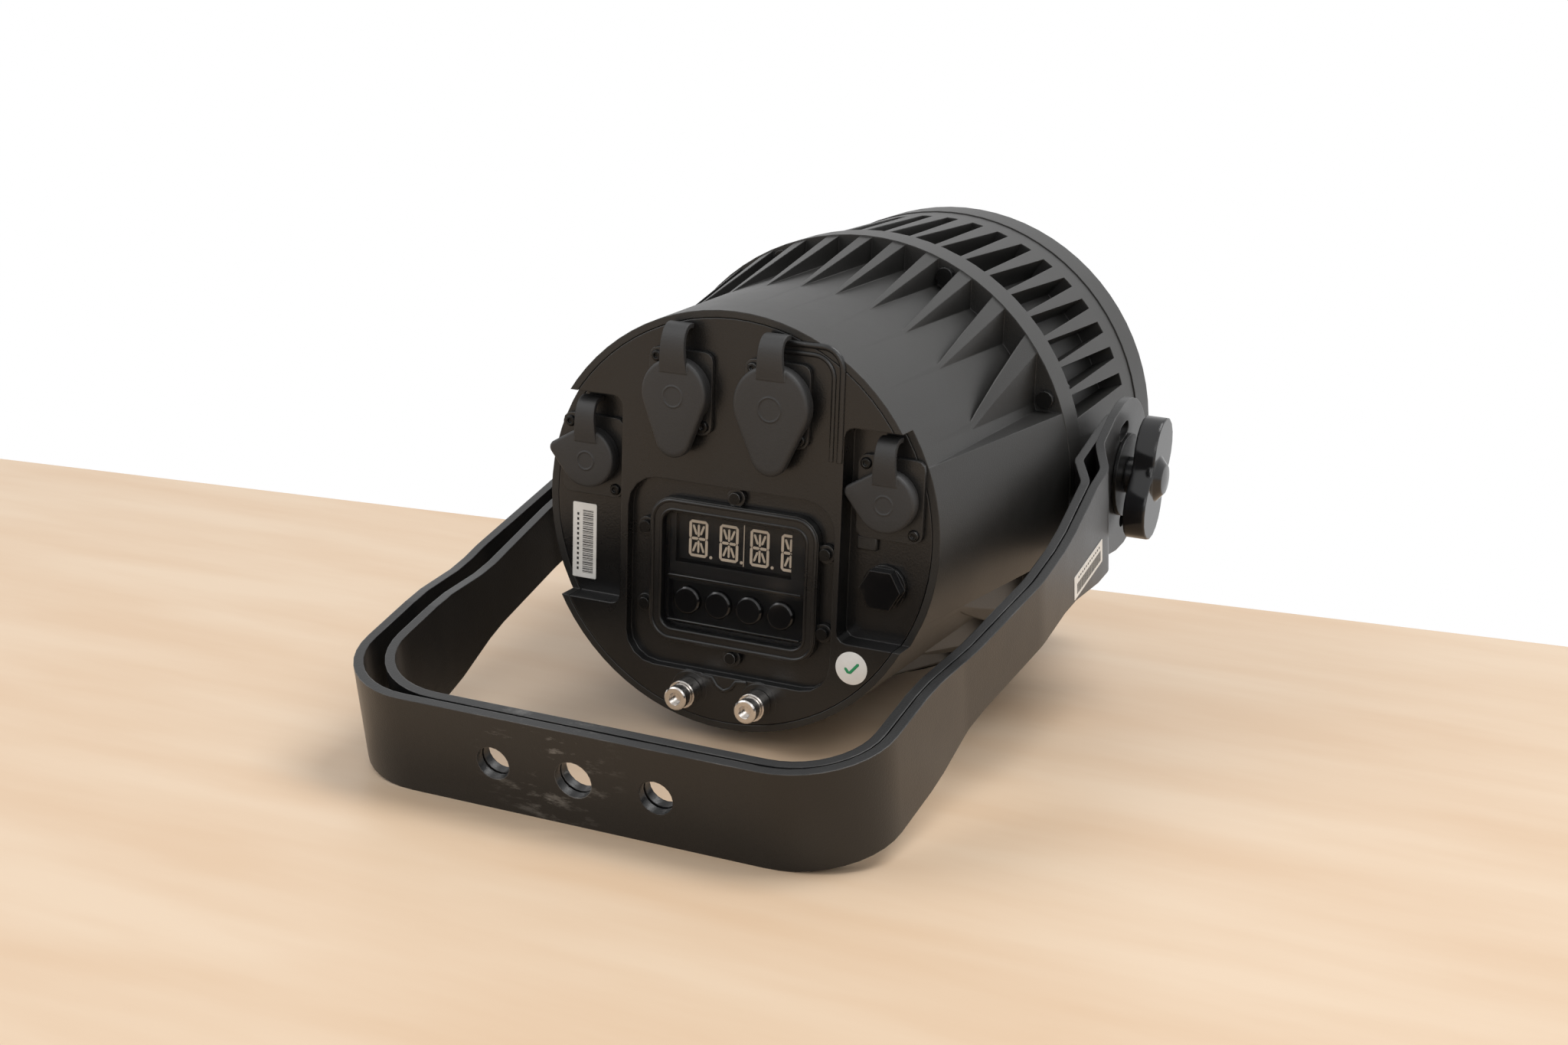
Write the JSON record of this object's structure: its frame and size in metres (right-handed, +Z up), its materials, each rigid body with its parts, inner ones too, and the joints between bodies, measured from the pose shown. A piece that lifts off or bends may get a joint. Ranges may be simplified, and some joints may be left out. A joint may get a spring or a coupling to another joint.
{
  "type": "led par light",
  "caption": "Finned round stage light with a lens, rear display and capped sockets, held in a folding double yoke with clamp knobs.",
  "frame": {"origin": "middle of the bounding box in plan, on the floor the light lies on", "axes": "+Z up; +Y to the rear, where the folded yokes reach; -Y the way the lens looks (it looks 3 degrees up); +X to the light's left seen from behind the lens, along the pivots"},
  "size_m": [0.244, 0.3542, 0.1896],
  "materials": {
    "casting": "matt charcoal powder coat on die-cast aluminium",
    "cap_casting": "satin black coat on die-cast aluminium",
    "yoke_paint": "black powder coat on steel strap, rubbed at the holes and edges",
    "cover_rubber": "matt dark grey rubber",
    "seal_rubber": "black seal rubber",
    "black_plastic": "gloss black moulded plastic",
    "display_window": "smoked window",
    "stainless": "stainless steel, bright",
    "black_steel": "blackened steel",
    "circuit_board": "green solder mask",
    "bare_aluminium": "mill finish",
    "front_glass": "clear toughened glass",
    "lens_plastic": "clear moulded acrylic"
  },
  "bodies": {
    "head": {"rear_housing": "casting", "front_housing": "casting", "front_bezel": "casting", "rear_cap": "cap_casting", "display_frame": "cap_casting", "rear_cap_seal": "seal_rubber", "glass_seal": "seal_rubber", "friction_washer_left": "seal_rubber", "friction_washer_right": "seal_rubber", "middle_washer_left": "seal_rubber", "middle_washer_right": "seal_rubber", "power_in_socket": "black_plastic", "power_out_socket": "black_plastic", "data_in_socket": "black_plastic", "data_out_socket": "black_plastic", "vent_plug": "black_plastic", "display_window": "display_window", "hanger_bolt_left": "stainless", "hanger_bolt_right": "stainless", "bolt_spacer_left": "stainless", "bolt_spacer_right": "stainless", "pivot_stud_left": "stainless", "pivot_stud_right": "stainless", "collar_screw_1": "black_steel", "collar_screw_2": "black_steel", "collar_screw_3": "black_steel", "collar_screw_4": "black_steel", "collar_screw_5": "black_steel", "collar_screw_6": "black_steel", "collar_screw_7": "black_steel", "collar_screw_8": "black_steel", "frame_screw_1": "black_steel", "frame_screw_2": "black_steel", "frame_screw_3": "black_steel", "frame_screw_4": "black_steel", "frame_screw_5": "black_steel", "frame_screw_6": "black_steel", "outer_washer_left": "black_steel", "outer_washer_right": "black_steel", "led_board": "circuit_board", "display_board": "circuit_board", "driver_board": "circuit_board", "heat_spreader": "bare_aluminium", "chassis_plate": "bare_aluminium", "power_supply": "bare_aluminium", "front_glass": "front_glass", "lens_array": "lens_plastic"},
    "outer_yoke": {"outer_yoke": "yoke_paint"},
    "inner_yoke": {"inner_yoke": "yoke_paint"},
    "knob_left": {"knob_left": "black_plastic"},
    "knob_right": {"knob_right": "black_plastic"},
    "button_1": {"button_1": "black_plastic"},
    "button_2": {"button_2": "black_plastic"},
    "button_3": {"button_3": "black_plastic"},
    "button_4": {"button_4": "black_plastic"},
    "power_in_cover": {"power_in_cover": "cover_rubber"},
    "power_out_cover": {"power_out_cover": "cover_rubber"},
    "data_in_cover": {"data_in_cover": "cover_rubber"},
    "data_out_cover": {"data_out_cover": "cover_rubber"}
  },
  "joints": [
    {"name": "outer_yoke_hinge", "type": "hinge", "parent": "head", "child": "outer_yoke", "pos_m": [0, -0.09263, 0.09445], "axis": [1, 0, 0], "range_deg": [-90, 190]},
    {"name": "inner_yoke_hinge", "type": "hinge", "parent": "head", "child": "inner_yoke", "pos_m": [0, -0.09263, 0.09445], "axis": [1, 0, 0], "range_deg": [-90, 190]},
    {"name": "knob_left_turn", "type": "hinge", "parent": "head", "child": "knob_left", "pos_m": [0.11, -0.09263, 0.09445], "axis": [1, 0, 0], "range_deg": [-180, 180]},
    {"name": "knob_right_turn", "type": "hinge", "parent": "head", "child": "knob_right", "pos_m": [-0.11, -0.09263, 0.09445], "axis": [-1, 0, 0], "range_deg": [-180, 180]},
    {"name": "button_1_press", "type": "slide", "parent": "head", "child": "button_1", "axis": [0, -0.9984, 0.0562], "range_m": [0, 0.001], "stiffness_N_per_m": 600},
    {"name": "button_2_press", "type": "slide", "parent": "head", "child": "button_2", "axis": [0, -0.9984, 0.0562], "range_m": [0, 0.001], "stiffness_N_per_m": 600},
    {"name": "button_3_press", "type": "slide", "parent": "head", "child": "button_3", "axis": [0, -0.9984, 0.0562], "range_m": [0, 0.001], "stiffness_N_per_m": 600},
    {"name": "button_4_press", "type": "slide", "parent": "head", "child": "button_4", "axis": [0, -0.9984, 0.0562], "range_m": [0, 0.001], "stiffness_N_per_m": 600},
    {"name": "power_in_cover_hinge", "type": "hinge", "parent": "head", "child": "power_in_cover", "pos_m": [0.02, 0.06807, 0.15751], "axis": [1, 0, 0], "range_deg": [0, 115]},
    {"name": "power_out_cover_hinge", "type": "hinge", "parent": "head", "child": "power_out_cover", "pos_m": [-0.019, 0.06807, 0.15751], "axis": [1, 0, 0], "range_deg": [0, 115]},
    {"name": "data_in_cover_hinge", "type": "hinge", "parent": "head", "child": "data_in_cover", "pos_m": [0.061, 0.05717, 0.12407], "axis": [1, 0, 0], "range_deg": [0, 90]},
    {"name": "data_out_cover_hinge", "type": "hinge", "parent": "head", "child": "data_out_cover", "pos_m": [-0.061, 0.05717, 0.12407], "axis": [1, 0, 0], "range_deg": [0, 90]}
  ]
}
